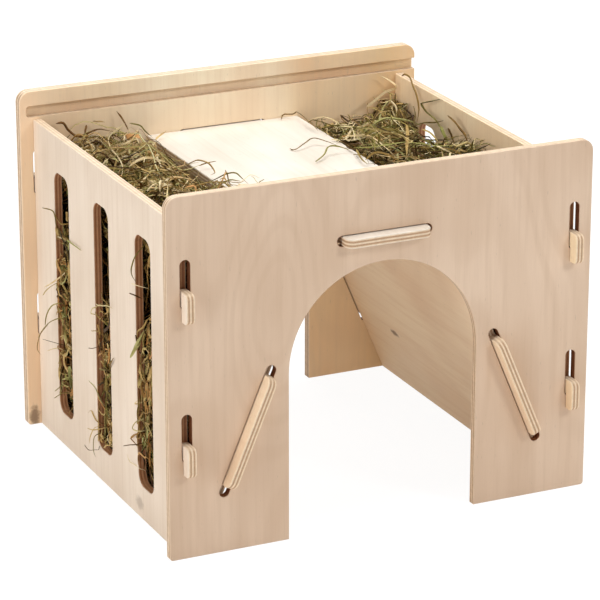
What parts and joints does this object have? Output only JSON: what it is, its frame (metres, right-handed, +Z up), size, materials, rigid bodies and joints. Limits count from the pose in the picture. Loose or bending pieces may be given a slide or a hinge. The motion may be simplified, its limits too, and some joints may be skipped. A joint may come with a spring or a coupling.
{
  "type": "hay feeder box",
  "caption": "Plywood hay house: arched doorways front and back, a cabin under a shelf, and hay hoppers behind slotted side panels that lift out of their hook slots.",
  "frame": {"origin": "bottom centre of the house, on the floor it stands on, midway between the front and the back hooks", "axes": "+X along the front to the right, +Y from the front panel to the back panel, +Z up"},
  "size_m": [0.3, 0.281, 0.242],
  "materials": {
    "plywood_face": "sanded, untreated",
    "hay": "dry, matte"
  },
  "bodies": {
    "house": {"front_panel": "plywood_face", "back_panel": "plywood_face", "left_inner_wall": "plywood_face", "right_inner_wall": "plywood_face", "roof_shelf": "plywood_face"},
    "left_side": {"left_side_panel": "plywood_face"},
    "right_side": {"right_side_panel": "plywood_face"},
    "left_hay": {"hay_left": "hay"},
    "right_hay": {"hay_right": "hay"}
  },
  "joints": [
    {"name": "left_side_lift", "type": "slide", "parent": "house", "child": "left_side", "axis": [0, 0, 1], "range_m": [0, 0.018]},
    {"name": "right_side_lift", "type": "slide", "parent": "house", "child": "right_side", "axis": [0, 0, 1], "range_m": [0, 0.018]},
    {"name": "left_hay_lift", "type": "slide", "parent": "house", "child": "left_hay", "axis": [0, 0, 1], "range_m": [0, 0.24]},
    {"name": "right_hay_lift", "type": "slide", "parent": "house", "child": "right_hay", "axis": [0, 0, 1], "range_m": [0, 0.24]}
  ]
}
